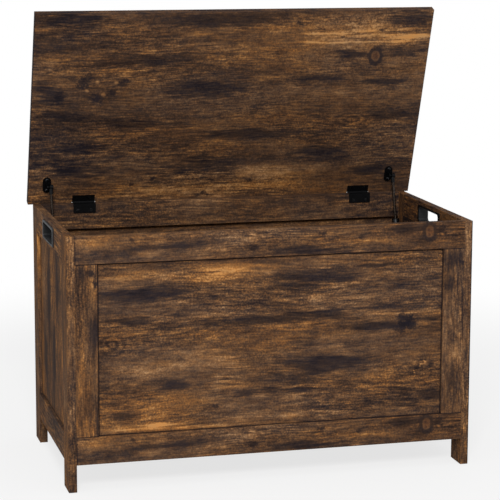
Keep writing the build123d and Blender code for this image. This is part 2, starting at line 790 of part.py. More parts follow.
# Gas stays: ball socket, rod and piston below the lid stud, then tube, guide and a slotted lower eye
tube_top = -(stay_open - eye_neck_length - tube_length)
tube_bottom = tube_top - tube_length
piston_top = tube_top - guide_length - piston_gap
for side_name, side in SIDES:
    place = stay_plane(side * stay_x)
    across = facing(place.origin, (1, 0, 0))

    with BuildPart() as socket:
        rod(across, socket_radius, -socket_lip, socket_cap)
        rod(place, socket_shank_radius, -socket_shank_length, -ball_radius)
        rod(place, rod_radius + rod_play, -socket_shank_length, -rod_seat, Mode.SUBTRACT)
        with Locations(place.origin):
            Sphere(ball_radius + ball_play, mode=Mode.SUBTRACT)
    keep(socket, f"{side_name}_stay_socket")

    with BuildPart() as stay_rod:
        rod(place, rod_radius, piston_top, -rod_seat)
    keep(stay_rod, f"{side_name}_stay_rod")

    with BuildPart() as piston:
        rod(place, tube_radius - tube_wall - piston_play, piston_top - piston_length, piston_top)
    keep(piston, f"{side_name}_stay_piston")

    with BuildPart() as tube:
        rod(place, tube_radius, tube_bottom, tube_top)
        rod(place, tube_radius - tube_wall, tube_bottom + tube_floor, tube_top, Mode.SUBTRACT)
    keep(tube, f"{side_name}_stay_tube")

    with BuildPart() as guide:
        rod(place, tube_radius - tube_wall - guide_play, tube_top - guide_length, tube_top)
        rod(place, tube_radius, tube_top, tube_top + guide_flange)
        rod(place, rod_radius + rod_play, tube_top - guide_length, tube_top + guide_flange, Mode.SUBTRACT)
    keep(guide, f"{side_name}_stay_guide")

    with BuildPart() as eye:
        eye_face = facing(
            place.from_local_coords((-eye_thickness / 2, 0, -stay_open)), (1, 0, 0), place.y_dir
        )
        slot_length = eye_slot_back - eye_slot_front
        slot_middle = (eye_slot_back + eye_slot_front) / 2
        with BuildSketch(eye_face) as eye_outline:
            with Locations((slot_middle, 0)):
                SlotCenterToCenter(slot_length, 2 * (eye_slot_radius + eye_wall))
                SlotCenterToCenter(slot_length, 2 * eye_slot_radius, mode=Mode.SUBTRACT)
        extrude(amount=eye_thickness)
        rod(place, eye_neck_radius, tube_bottom, -stay_open + eye_slot_radius + eye_wall / 2)
    keep(eye, f"{side_name}_stay_eye")

    with BuildPart() as foot_bracket:
        pivot = (side * inside_x, hinge_y - stay_pivot_setback, hinge_z - stay_pivot_drop)
        inward = facing(pivot, (-side, 0, 0), (0, 1, 0))
        eye_near = stay_inset - eye_thickness / 2 - eye_side_play
        eye_far = eye_near + eye_thickness + 2 * eye_side_play
        with BuildSketch(inward) as foot_outline:
            SlotOverall(plate_length, plate_width, rotation=90)
            with GridLocations(0, plate_screw_spacing, 1, 2):
                Circle(screw_radius + screw_play, mode=Mode.SUBTRACT)
        extrude(amount=plate_thickness)
        rod(inward, eye_collar_radius, 0, eye_near)
        rod(inward, eye_pin_radius, 0, eye_far)
        rod(inward, eye_slot_radius + eye_head_lap, eye_far, eye_far + eye_head_length)
    keep(foot_bracket, f"{side_name}_stay_foot_bracket")

with BuildPart() as stay_body_screws:
    for side_name, side in SIDES:
        for along in (-1, 1):
            screw_z = hinge_z - stay_pivot_drop + along * plate_screw_spacing / 2
            head = (side * (inside_x - plate_thickness), hinge_y - stay_pivot_setback, screw_z)
            round_screw(facing(head, (-side, 0, 0)), plate_thickness + panel_screw_length)
keep(stay_body_screws, "stay_body_screws")

# Screws that hold the back board in the rails' rebates
with BuildPart() as back_board_screws:
    for edge, toward_rail in ((opening_low, -1), (opening_high, 1)):
        for spot in back_screw_spots(edge, toward_rail):
            round_screw(spot, back_board_thickness + back_screw_length, panel_rebate / 2 - panel_play)
keep(back_board_screws, "back_board_screws")
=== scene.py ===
"""Looks of the storage bench: rustic brown boards with black hinges and gas stays, on a pale floor."""

import json
from math import cos, radians, sin

import bpy
from mathutils import Matrix, Vector


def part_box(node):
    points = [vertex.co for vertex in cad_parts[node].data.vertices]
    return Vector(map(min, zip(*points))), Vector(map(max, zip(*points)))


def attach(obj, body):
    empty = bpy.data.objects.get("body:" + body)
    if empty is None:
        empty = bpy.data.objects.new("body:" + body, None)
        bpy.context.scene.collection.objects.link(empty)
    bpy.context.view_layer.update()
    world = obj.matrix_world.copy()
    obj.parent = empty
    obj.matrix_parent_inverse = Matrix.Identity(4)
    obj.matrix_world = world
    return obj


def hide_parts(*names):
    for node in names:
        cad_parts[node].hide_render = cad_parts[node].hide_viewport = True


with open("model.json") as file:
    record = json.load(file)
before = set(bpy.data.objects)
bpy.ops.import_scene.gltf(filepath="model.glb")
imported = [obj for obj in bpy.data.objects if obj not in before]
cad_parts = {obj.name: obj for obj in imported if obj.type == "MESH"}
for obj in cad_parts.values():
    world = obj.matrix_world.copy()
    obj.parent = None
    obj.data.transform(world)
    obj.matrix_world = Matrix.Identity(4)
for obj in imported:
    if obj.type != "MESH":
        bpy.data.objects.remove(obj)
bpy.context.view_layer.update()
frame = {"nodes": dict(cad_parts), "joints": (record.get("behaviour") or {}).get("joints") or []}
nodes = frame["nodes"]
lid_joint = next(joint for joint in frame["joints"] if joint["name"] == "lid_hinge")
LID_TILT = radians(lid_joint["range_deg"][0])
HINGE_PLACE = tuple(lid_joint["pos_m"])
QUARTER_TURN = radians(90)

# Camera, fitted to the photograph's outline
CAMERA_PLACE = (-0.92181, -3.52024, 1.04526)
CAMERA_TURN = radians(14.780)
CAMERA_DOWN = radians(9.454)
CAMERA_ROLL = radians(0.180)
CAMERA_LENS = 139.64
CAMERA_SENSOR = 36.0
CAMERA_SHIFT = -0.05

# Stage
FLOOR_REACH = 30.0
SHADOW_NEAR = 0.9
SHADOW_FAR = 1.8
FLOOR_TONE = 0.86
FLOOR_LIFT = 0.75
AMBIENT = 0.38
LAMPS = (
    ("front_lamp", (-1.3, -4.4, 3.6), 1.5, 190.0),
    ("left_lamp", (-4.2, -1.2, 2.2), 2.4, 4.0),
    ("top_lamp", (0.3, -0.6, 4.0), 3.0, 12.0),
)
LAMP_AIM = Vector((0.0, 0.0, 0.42))

# The boards' print, from its smoky darks to its palest streaks, in screen colours
PRINT_STOPS = (
    (0.00, (36, 29, 28)),
    (0.20, (54, 41, 35)),
    (0.32, (65, 49, 39)),
    (0.41, (76, 56, 43)),
    (0.50, (90, 65, 47)),
    (0.59, (104, 75, 52)),
    (0.68, (120, 86, 58)),
    (0.79, (143, 103, 67)),
    (1.00, (190, 143, 96)),
)

# Marks of the print: places along and across the grain, then half lengths and half widths, in metres
LID_MARKS = {
    "dim": (
        (-0.330, 0.150, 0.110, 0.160),
        (-0.340, 0.340, 0.090, 0.070),
        (-0.115, 0.136, 0.090, 0.036),
        (-0.087, 0.042, 0.056, 0.024),
        (-0.288, 0.084, 0.110, 0.034),
        (-0.363, 0.260, 0.032, 0.026),
        (0.341, 0.063, 0.050, 0.034),
        (-0.297, 0.377, 0.055, 0.022),
    ),
    "pale": (
        (0.205, 0.326, 0.170, 0.018),
        (-0.210, 0.314, 0.130, 0.014),
        (-0.154, 0.257, 0.058, 0.018),
        (0.035, 0.063, 0.034, 0.020),
        (0.185, 0.058, 0.034, 0.016),
        (0.320, 0.162, 0.072, 0.016),
        (0.225, 0.372, 0.180, 0.028),
        (0.360, 0.294, 0.055, 0.060),
        (-0.070, 0.226, 0.180, 0.024),
        (0.108, 0.046, 0.110, 0.034),
        (0.110, 0.112, 0.060, 0.020),
        (0.142, 0.284, 0.052, 0.032),
    ),
    "smoke": (
        (-0.330, 0.385, 0.075, 0.016),
        (-0.010, 0.385, 0.110, 0.016),
        (-0.180, 0.300, 0.100, 0.018),
        (-0.060, 0.240, 0.100, 0.024),
        (-0.355, 0.230, 0.035, 0.026),
        (-0.320, 0.185, 0.060, 0.018),
        (-0.200, 0.162, 0.060, 0.018),
        (-0.320, 0.116, 0.075, 0.010),
        (-0.040, 0.072, 0.095, 0.018),
        (-0.310, 0.068, 0.055, 0.014),
        (0.355, 0.378, 0.060, 0.020),
        (0.350, 0.312, 0.060, 0.014),
        (0.230, 0.305, 0.026, 0.010),
        (0.175, 0.257, 0.050, 0.010),
        (0.310, 0.248, 0.055, 0.008),
        (0.330, 0.172, 0.060, 0.010),
        (0.050, 0.138, 0.085, 0.015),
        (0.200, 0.092, 0.060, 0.018),
        (0.295, 0.050, 0.040, 0.011),
    ),
    "glow": (
        (-0.374, 0.368, 0.026, 0.008),
        (-0.075, 0.354, 0.030, 0.009),
        (-0.330, 0.305, 0.080, 0.020),
        (-0.215, 0.278, 0.045, 0.007),
        (0.225, 0.350, 0.180, 0.024),
        (0.300, 0.347, 0.120, 0.022),
        (0.070, 0.261, 0.042, 0.007),
        (-0.255, 0.143, 0.080, 0.012),
        (0.090, 0.058, 0.090, 0.018),
        (-0.090, 0.018, 0.270, 0.018),
    ),
    "blaze": (
        (0.250, 0.334, 0.130, 0.004),
        (0.330, 0.344, 0.070, 0.006),
        (0.290, 0.360, 0.090, 0.005),
        (0.180, 0.352, 0.090, 0.003),
    ),
    "pin": (
        (0.121, 0.376),
        (0.289, 0.357),
        (0.212, 0.344),
        (-0.145, 0.048),
        (-0.042, 0.014),
        (-0.050, 0.009),
        (-0.034, 0.009),
        (-0.190, 0.034),
        (0.052, 0.034),
    ),
    "ring": ((0.282, 0.302, 0.015, 0.019),),
    "blot": (
        (-0.293, 0.257, 0.016, 0.013),
        (-0.268, 0.224, 0.014, 0.012),
        (-0.235, 0.237, 0.010, 0.007),
        (-0.214, 0.257, 0.012, 0.008),
        (-0.340, 0.226, 0.010, 0.016),
    ),
    "fleck": (
        (-0.287, 0.240),
        (-0.253, 0.232),
        (-0.266, 0.258),
        (-0.228, 0.256),
    ),
    "swirl": ((0.248, 0.166, 0.042, 0.018),),
}
PANEL_MARKS = {
    "dim": (
        (0.020, 0.319, 0.085, 0.020),
        (0.046, 0.185, 0.070, 0.038),
        (-0.200, 0.303, 0.034, 0.017),
        (0.156, 0.342, 0.080, 0.022),
        (0.252, 0.133, 0.076, 0.024),
        (0.242, 0.308, 0.080, 0.014),
        (0.000, 0.162, 0.056, 0.016),
        (0.024, 0.378, 0.030, 0.016),
        (0.200, 0.126, 0.110, 0.012),
        (0.060, 0.256, 0.034, 0.022),
    ),
    "pale": (
        (-0.118, 0.238, 0.100, 0.056),
        (-0.246, 0.222, 0.076, 0.020),
        (-0.229, 0.132, 0.058, 0.022),
        (-0.117, 0.377, 0.078, 0.026),
        (0.218, 0.098, 0.110, 0.016),
        (-0.219, 0.214, 0.100, 0.018),
        (-0.204, 0.160, 0.080, 0.024),
        (-0.046, 0.122, 0.056, 0.024),
        (-0.092, 0.228, 0.054, 0.016),
        (0.211, 0.183, 0.040, 0.020),
        (0.292, 0.142, 0.028, 0.012),
    ),
    "smoke": (
        (-0.265, 0.352, 0.070, 0.013),
        (-0.205, 0.357, 0.060, 0.016),
        (-0.260, 0.306, 0.040, 0.010),
        (0.010, 0.298, 0.150, 0.011),
        (-0.189, 0.186, 0.036, 0.011),
        (-0.282, 0.135, 0.036, 0.009),
        (-0.055, 0.163, 0.032, 0.008),
        (0.090, 0.370, 0.110, 0.020),
        (0.190, 0.388, 0.030, 0.005),
        (0.120, 0.205, 0.090, 0.018),
        (0.200, 0.274, 0.060, 0.009),
        (0.305, 0.283, 0.030, 0.006),
        (0.055, 0.162, 0.034, 0.009),
        (0.310, 0.140, 0.030, 0.011),
    ),
    "glow": (
        (-0.250, 0.388, 0.085, 0.013),
        (-0.087, 0.179, 0.055, 0.007),
        (-0.160, 0.106, 0.190, 0.012),
        (0.160, 0.332, 0.110, 0.010),
        (0.226, 0.301, 0.110, 0.006),
        (0.040, 0.118, 0.035, 0.010),
    ),
    "blaze": (
        (-0.080, 0.390, 0.130, 0.018),
        (-0.235, 0.111, 0.100, 0.006),
        (-0.250, 0.127, 0.080, 0.003),
        (0.255, 0.297, 0.080, 0.003),
        (0.292, 0.274, 0.014, 0.004),
    ),
    "blot": (
        (0.250, 0.286, 0.018, 0.012),
        (0.262, 0.276, 0.016, 0.012),
        (0.244, 0.270, 0.012, 0.012),
    ),
    "pin": ((-0.107, 0.142),),
    "burl": ((0.292, 0.190, 0.036, 0.020),),
    "swirl": ((-0.297, 0.265, 0.030, 0.022),),
}
RAIL_MARKS = {
    "smoke": (
        (0.234, 0.457, 0.024, 0.008),
        (-0.155, 0.441, 0.110, 0.009),
        (0.060, 0.424, 0.060, 0.007),
    ),
    "glow": (
        (-0.338, 0.449, 0.032, 0.012),
        (-0.230, 0.428, 0.036, 0.007),
        (0.180, 0.436, 0.080, 0.010),
    ),
    "pin": (
        (-0.263, 0.454),
        (-0.038, 0.432),
        (0.092, 0.452),
        (0.164, 0.443),
    ),
    "blot": ((0.322, 0.450, 0.014, 0.010),),
    "fleck": ((0.321, 0.443),),
    "ring": ((0.296, 0.448, 0.015, 0.018),),
}
LEFT_STILE_MARKS = {
    "dim": (
        (0.371, -0.358, 0.050, 0.012),
        (0.152, -0.344, 0.055, 0.028),
    ),
    "smoke": (
        (0.398, -0.350, 0.018, 0.012),
        (0.292, -0.330, 0.050, 0.012),
        (0.140, -0.326, 0.040, 0.007),
    ),
    "glow": ((0.353, -0.328, 0.030, 0.007),),
    "blot": (
        (0.398, -0.336, 0.009, 0.007),
        (0.378, -0.328, 0.008, 0.006),
    ),
    "fleck": (
        (0.390, -0.335),
        (0.376, -0.334),
    ),
}
RIGHT_STILE_MARKS = {
    "dim": ((0.165, 0.351, 0.030, 0.020),),
    "pale": ((0.215, 0.350, 0.028, 0.018),),
    "smoke": (
        (0.397, 0.343, 0.020, 0.020),
        (0.353, 0.337, 0.018, 0.013),
        (0.294, 0.364, 0.045, 0.005),
    ),
    "pin": ((0.389, 0.361),),
}
SIDE_PANEL_MARKS = {
    "smoke": (
        (0.345, -0.060, 0.070, 0.024),
        (0.300, 0.040, 0.090, 0.030),
        (0.200, -0.020, 0.080, 0.026),
        (0.180, 0.080, 0.060, 0.020),
    ),
    "glow": (
        (0.250, -0.110, 0.090, 0.014),
        (0.350, 0.095, 0.050, 0.012),
    ),
}
REAR_STILE_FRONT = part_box("left_rear_side_stile")[0][1]
REAR_STILE_MARKS = {
    "glow": ((0.360, REAR_STILE_FRONT, 0.070, 0.007),),
    "blaze": ((0.394, REAR_STILE_FRONT, 0.030, 0.007),),
}

# Pins and flecks are all of one size, and the front's bottom rail has the top rail's marks, further down
SPOT_SIZES = {"pin": (0.0065, 0.0045), "fleck": (0.0050, 0.0042)}
RAIL_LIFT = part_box("front_top_rail")[0][2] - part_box("front_bottom_rail")[0][2]

# Kinds of marks: a shift of the tone, a level that it goes towards, by what share, and a drift of the hue
MARK_TONES = {
    "dim": (-0.16, 0.0, 0.0, -0.02),
    "pale": (0.14, 0.0, 0.0, 0.02),
    "smoke": (-0.21, 0.25, 0.30, -0.04),
    "glow": (0.22, 0.70, 0.20, 0.05),
    "blaze": (0.31, 0.80, 0.15, 0.05),
    "blot": (-0.20, 0.20, 0.45, -0.08),
    "pin": (-0.14, 0.10, 0.40, 0.0),
    "fleck": (0.20, 0.90, 0.35, 0.0),
}
DRAWN_OUT = ("dim", "pale", "smoke", "glow", "blaze")
STRANDED = ("glow", "blaze")

# How far ragged rims wander along and across the grain, in metres
DRAWN_OUT_WANDER = (0.055, 0.012)
ROUND_WANDER = (0.020, 0.014)

# How far from its middle a mark begins to cover and covers fully, as shares of its size
PATCH_RIM = (1.25, 0.25)

# Ring knots: the tones of bark and heart, how much paler the line between them is, and how cool the bark is
RING_BARK = 0.16
RING_HEART = 0.44
RING_HALO = 0.10
RING_COOLING = 0.14

# Layers of noise in the print: a seed, waves per metre along and across the grain, detail and roughness
PRINT_LAYERS = {
    "sweep": (0, 1.5, 4.0, 1.0, 0.50),
    "waver": (1, 7.0, 22.0, 2.0, 0.50),
    "cloud": (2, 2.6, 10.0, 2.0, 0.70),
    "streak": (3, 5.0, 34.0, 2.0, 0.85),
    "speck": (4, 280.0, 280.0, 1.0, 0.90),
    "open_grain": (5, 3.0, 9.0, 2.0, 0.50),
    "pale_line": (6, 2.4, 70.0, 1.0, 0.50),
    "dark_line": (7, 3.0, 80.0, 1.0, 0.50),
    "ragged": (8, 10.0, 45.0, 4.0, 0.65),
    "islands": (9, 55.0, 85.0, 3.0, 0.60),
    "crumbs": (10, 105.0, 135.0, 1.0, 0.50),
    "hue": (11, 4.0, 14.0, 3.0, 0.50),
    "fibre": (12, 30.0, 240.0, 1.0, 0.90),
    "zone": (13, 4.0, 13.0, 2.0, 0.50),
    "mottle": (14, 40.0, 60.0, 2.0, 0.80),
    "dust": (15, 50.0, 130.0, 2.0, 0.80),
    "strands": (16, 8.0, 120.0, 2.0, 0.70),
}
NOISE_MIDDLE = 0.5

# How far the grain bends, in metres, how strongly the layers tone the print, and how wide its lines are
SWEEP_REACH = 0.050
WAVER_REACH = 0.009
CLOUD_TONE = 0.60
STREAK_TONE = 0.60
MOTTLE_TONE = 0.45
FIBRE_TONE = 0.80
SPECK_TONE = 0.68
PALE_LINE_WIDTH = 0.035
DARK_LINE_WIDTH = 0.030

# Seams, dark joints that on the front panel are painted shadow of the frame: their width, and how far that
# painted shadow reaches further onto the front panel at its left and top, in metres; a seam far away isn't
# drawn
SEAM_WIDTH = 0.0026
PANEL_SHADE = 0.0012
FAR = 1.0

# Tints that the print's colour is multiplied with
CHARCOAL_TINT = (0.93, 1.00, 1.16, 1.0)
ORANGE_TINT = (1.04, 0.96, 0.76, 1.0)
GREY_TINT = (0.89, 1.00, 1.22, 1.0)
RUDDY_TINT = (1.10, 0.98, 0.85, 1.0)
HEART_TINT = (1.03, 0.95, 0.95, 1.0)
BAND_COOLING = 0.08

# The boards' surface
BOARD_SPECULAR = 0.02
BOARD_ROUGHNESS = 0.72
BOARD_BUMP = 0.30
BOARD_RELIEF = 0.0006

# The boards of a side have seeds this far apart
SEED_STEP = 13.0

# Screws: sizes of each kind, and where they sit on the fittings, in metres
SCREW_SIZES = (
    "Head Radius", "Dome", "Sink", "Shank Radius", "Length", "Recess Length", "Recess Width", "Recess Depth"
)
FLAT_SCREW = (0.0030, 0.00015, 0.0015, 0.0015, 0.0120, 0.0034, 0.0008, 0.0010)
ROUND_SCREW = (0.0033, 0.0018, 0.0, 0.0015, 0.0090, 0.0036, 0.0009, 0.0012)
SMALL_SCREW = (0.0027, 0.0016, 0.0, 0.0015, 0.0120, 0.0030, 0.0008, 0.0010)
LEAF_SCREW_SPACING = 0.026
LEAF_SCREW_INSET = 0.0055
LID_LEAF_SCREW = 0.010
LID_UNDER = 0.00025
STUD_REACH = 0.041
PLATE_WIDTH = 0.016
PLATE_THICKNESS = 0.002
PLATE_SCREW_SPACING = 0.022
BACK_SCREW_SPACING = 0.150
BACK_SCREW_INSET = 0.0027
FORWARD = (0.0, -1.0, 0.0)
BACKWARD = (0.0, 1.0, 0.0)
HEAD_SEGMENTS = 24
HEAD_RINGS = 12
SHANK_SIDES = 16
SHANK_RISE = 0.3
TURN_SEED = 5
TINY = 0.0001

# Sockets by number, because some of them share a name: Mix for colours, and Random Value for numbers
MIX_SHARE, MIX_FIRST, MIX_SECOND, MIX_RESULT = 0, 6, 7, 2
RANDOM_LOW, RANDOM_HIGH, RANDOM_SEED, RANDOM_RESULT = 2, 3, 8, 1

# Plain finishes: how strongly broad and fine noise vary them, and how deep their relief is, in metres
BROAD_SPECKLE = 0.8
FINE_SPECKLE = 0.7
SPECKLE_RELIEF = 0.0003


def screen_colour(rgb):
    """A screen colour of 0 to 255 as the linear colour that a shader takes."""
    shares = [value / 255 for value in rgb]
    return tuple(s / 12.92 if s <= 0.04045 else ((s + 0.055) / 1.055) ** 2.4 for s in shares) + (1.0,)


class Wire:
    """An output of a node in a shader or a geometry tree. Arithmetic on it adds Math nodes to that tree."""

    def __init__(self, tree, socket):
        self.tree = tree
        self.socket = socket

    def node(self, kind, settings, inputs, output=0):
        """Adds a node: its settings first, then the values or links of its sockets."""
        added = self.tree.nodes.new(kind)
        for key, value in settings.items():
            if key == "stops":
                set_stops(added.color_ramp.elements, value)
            else:
                setattr(added, key, value)
        for key, value in inputs.items():
            for wire in value if isinstance(value, list) else [value]:
                if isinstance(wire, Wire):
                    self.tree.links.new(wire.socket, added.inputs[key])
                else:
                    added.inputs[key].default_value = wire
        return Wire(self.tree, added.outputs[output])

    def maths(self, operation, *values):
        return self.node("ShaderNodeMath", {"operation": operation}, dict(enumerate((self, *values))))

    def vector(self, operation, *values, output=0):
        return self.node(
            "ShaderNodeVectorMath", {"operation": operation}, dict(enumerate((self, *values))), output
        )

    def __add__(self, other):
        return self.maths("ADD", other)

    def __mul__(self, other):
        return self.maths("MULTIPLY", other)

    def __sub__(self, other):
        return self.maths("SUBTRACT", other)

    def __rsub__(self, other):
        return (self * -1) + other

    def smooth(self, low, high):
        """0 at low, 1 at high, with an even ease between them."""
        return self.node(
            "ShaderNodeMapRange", {"interpolation_type": "SMOOTHSTEP"}, {0: self, 1: low, 2: high}
        )

    def parts(self):
        """The three values of a vector."""
        split = self.node("ShaderNodeSeparateXYZ", {}, {0: self}).socket.node
        return [Wire(self.tree, output) for output in split.outputs]

    def joined(self, second, third):
        """A vector of this value and two more."""
        return self.node("ShaderNodeCombineXYZ", {}, {0: self, 1: second, 2: third})

    def upward(self):
        """A vector straight up, as long as this value."""
        return self.node("ShaderNodeCombineXYZ", {}, {2: self})

    def noise(self, scales, shift=0.0, detail=2.0, roughness=0.5, output=0):
        """Noise at this place, with its own number of waves per metre along each axis."""
        place = self.vector("MULTIPLY_ADD", scales, (shift, shift * 1.7, shift * 2.3))
        settings = {"Vector": place, "Scale": 1.0, "Detail": detail, "Roughness": roughness}
        return self.node("ShaderNodeTexNoise", {}, settings, output)

    def ramp(self, stops):
        """The colour of a ramp at this value."""
        return self.node("ShaderNodeValToRGB", {"stops": stops}, {0: self})

    def blended(self, other, share, blend="MIX"):
        """This colour mixed with another one."""
        settings = {"data_type": "RGBA", "blend_type": blend}
        inputs = {MIX_SHARE: share, MIX_FIRST: self, MIX_SECOND: other}
        return self.node("ShaderNodeMix", settings, inputs, MIX_RESULT)


def set_stops(elements, stops):
    """Gives a colour ramp its stops."""
    while len(elements) < len(stops):
        elements.new(1.0)
    for element, (position, rgb) in zip(elements, stops):
        element.position = position
        element.color = screen_colour(rgb)


def new_finish(name):
    """A material with its shader, and wires for the place and the direction of a surface point."""
    material = bpy.data.materials.new(name)
    material.use_nodes = True
    tree = material.node_tree
    shader = tree.nodes["Principled BSDF"]
    coordinates = tree.nodes.new("ShaderNodeTexCoord")
    place = Wire(tree, coordinates.outputs["Object"])
    normal = Wire(tree, coordinates.outputs["Normal"])
    return material, shader, place, normal


def feed(shader, colour, roughness, height, bump_strength, bump_distance):
    """Links a finish's colour, roughness and fine relief to its shader."""
    links = shader.id_data.links
    settings = {"Strength": bump_strength, "Distance": bump_distance, "Height": height}
    bump = height.node("ShaderNodeBump", {}, settings)
    links.new(colour.socket, shader.inputs["Base Color"])
    links.new(roughness.socket, shader.inputs["Roughness"])
    links.new(bump.socket, shader.inputs["Normal"])


def reach(place, along, across, half_length, half_width):
    """Offsets from the middle of an oval on a board, 1 at its rim."""
    scale = (1 / half_length, 1 / half_width, 0.0)
    shift = (-along / half_length, -across / half_width, 0.0)
    return place.vector("MULTIPLY_ADD", scale, shift)


def patch(place, rim, *oval):
    """1 in the middle of an oval on a board, falling to 0 at its ragged rim."""
    away = reach(place, *oval).vector("LENGTH", output=1)
    return (away + rim).smooth(*PATCH_RIM)


def speckled(name, low, high, waves, roughness, metallic=0.0, bump=0.1, specular=0.5):
    """A plain finish that varies a little from point to point: moulded, coated or plated."""
    material, shader, place, _ = new_finish(name)
    cloud = place.noise((waves / 8,) * 3, 3.0, 2.0)
    grain = place.noise((waves,) * 3, 7.0, 3.0, 0.6)
    value = (cloud - NOISE_MIDDLE) * BROAD_SPECKLE + (grain - NOISE_MIDDLE) * FINE_SPECKLE + NOISE_MIDDLE
    colour = value.ramp(((0.2, low), (0.8, high)))
    shader.inputs["Metallic"].default_value = metallic
    shader.inputs["Specular IOR Level"].default_value = specular
    feed(shader, colour, (value - NOISE_MIDDLE) * 0.3 + roughness, grain, bump, SPECKLE_RELIEF)
    return material


def dress(names, material):
    """Gives CAD nodes their finish."""
    for name in names:
        for slot in nodes[name].material_slots:
            slot.material = material


def both_sides(*names):
    """Names of nodes that the bench has on its left and on its right."""
    return [f"{side}_{name}" for side in ("left", "right") for name in names]


def inner_edges(low_name, high_name, axis):
    """Where the boards on both sides of an opening end, along an axis."""
    return (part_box(low_name)[1][axis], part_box(high_name)[0][axis])


class BoardPrint:
    """The print of one board while it is laid: places on the board, and its tone and hue so far."""

    def __init__(self, name, axes, seed, tilt, lift):
        self.material, self.shader, place, normal = new_finish(name)
        self.seed = seed
        if tilt:
            turn = {"Location": HINGE_PLACE, "Rotation": (tilt, 0.0, 0.0)}
            place = place.node("ShaderNodeMapping", {"vector_type": "TEXTURE"}, {"Vector": place, **turn})
            turn_back = {"Vector": normal, "Rotation": (-tilt, 0.0, 0.0)}
            normal = normal.node("ShaderNodeMapping", {"vector_type": "VECTOR"}, turn_back)
        self.sides = dict(zip("xyz", place.parts()))
        self.lean = dict(zip("xyz", normal.vector("ABSOLUTE").parts()))
        self.length_axis, self.width_axis = axes[:2]
        along, across, through = [self.sides[axis] for axis in axes]
        across = across * -1 if tilt else across + lift
        self.board = along.joined(across, through)

        # Grain that sweeps in slow curves and wavers in short ones
        across = across + self.swing("sweep") * SWEEP_REACH + self.swing("waver") * WAVER_REACH
        self.grain = along.joined(across, through)

    def layer(self, name, place=None, output=0):
        """A layer of noise, on the board or, where that is given, along the grain."""
        shift, along, across, detail, roughness = PRINT_LAYERS[name]
        place = place or self.board
        return place.noise((along, across, across), self.seed + shift, detail, roughness, output)

    def swing(self, name, place=None):
        """A layer of noise that swings to both sides of 0."""
        return self.layer(name, place) - NOISE_MIDDLE

    def line(self, name, width):
        """1 on thin lines along the grain, 0 beside them."""
        return self.swing(name, self.grain).maths("ABSOLUTE").smooth(width, 0.0)

    def lay_grain(self, tone, strength, line_tone, hue_shift):
        """Clouds, long streaks, fine fibres and round specks, livelier in some zones than in others."""
        zone = self.layer("zone").smooth(0.36, 0.64)
        cloud = self.swing("cloud", self.grain)
        self.streak = self.swing("streak", self.grain)
        self.mottle = self.swing("mottle")
        self.fibre = self.swing("fibre", self.grain)
        self.speck = self.swing("speck")
        broad = (cloud * CLOUD_TONE + self.streak * STREAK_TONE) * strength
        fine = (self.fibre * FIBRE_TONE + self.speck * SPECK_TONE) * (zone * 0.6 + 0.7)
        self.tone = broad + self.mottle * MOTTLE_TONE + tone + fine
        self.hue = self.layer("hue") + hue_shift

        # Thin pale and dark lines, only where the grain is open
        open_grain = self.layer("open_grain").smooth(0.50, 0.62)
        pale_line = self.line("pale_line", PALE_LINE_WIDTH)
        self.dark_line = self.line("dark_line", DARK_LINE_WIDTH)
        self.tone = self.tone + (pale_line - self.dark_line) * open_grain * line_tone

    def wandering(self, ragged, along, across):
        """Places on the board, pushed to and fro along and across the grain."""
        push = ragged.vector("MULTIPLY_ADD", (along, across, 0.0), (-along / 2, -across / 2, 0.0))
        return self.board.vector("ADD", push)

    def lay_marks(self, marks):
        """Patches, blots and spots with ragged rims, the long ones drawn out along the grain."""
        ragged = self.layer("ragged", self.grain, output=1)
        drawn_out = self.wandering(ragged, *DRAWN_OUT_WANDER)
        drawn_out_rim = self.streak * 1.6 + self.fibre * 0.6
        rounded = self.wandering(ragged, *ROUND_WANDER)
        round_rim = self.mottle * 2.0 + self.speck
        strands = self.layer("strands", self.grain).smooth(0.32, 0.62) * 0.8 + 0.2
        for kind, (shift, level, share, drift) in MARK_TONES.items():
            for oval in marks.get(kind, ()):
                if kind in DRAWN_OUT:
                    cover = patch(drawn_out, drawn_out_rim, *oval)
                else:
                    cover = patch(rounded, round_rim, *oval, *SPOT_SIZES.get(kind, ()))
                if kind in STRANDED:
                    cover = cover * strands
                self.tone = self.tone + ((level - self.tone) * share + shift) * cover
                self.hue = self.hue + cover * drift
        for oval in marks.get("burl", ()):
            islands = self.layer("islands")
            crumbs = self.layer("crumbs").smooth(0.64, 0.76)
            cover = patch(drawn_out, drawn_out_rim, *oval)
            self.tone = self.tone + cover * ((islands - 0.53) * 2.2 + crumbs * 0.45)
        for oval in marks.get("swirl", ()):
            away = reach(rounded, *oval).vector("LENGTH", output=1)
            curls = (away * 14.0 + self.streak * 5.0).maths("SINE")
            self.tone = self.tone + curls * away.smooth(1.5, 0.4) * 0.15

    def lay_knots(self, ovals):
        """Ring knots: dark bark, a paler line inside it and a brown heart. Returns where the hearts are."""
        hearts = []
        for oval in ovals:
            offset = reach(self.board, *oval)
            away = offset.vector("LENGTH", output=1) + self.mottle * 0.4 + self.speck * 0.3
            lower = offset.parts()[1].smooth(0.6, -0.6)
            bark = away.smooth(0.52, 0.68)
            halo = away.smooth(0.24, 0.46) * away.smooth(0.66, 0.52)
            knot = bark * (RING_BARK - RING_HEART) + halo * RING_HALO + self.speck * 0.40 + RING_HEART
            cover = away.smooth(1.20, 0.90) * (lower * 0.15 + 0.72)
            self.tone = self.tone + (knot - self.tone) * cover
            self.hue = self.hue - bark * cover * RING_COOLING
            hearts.append(away.smooth(0.65, 0.30))
        return hearts

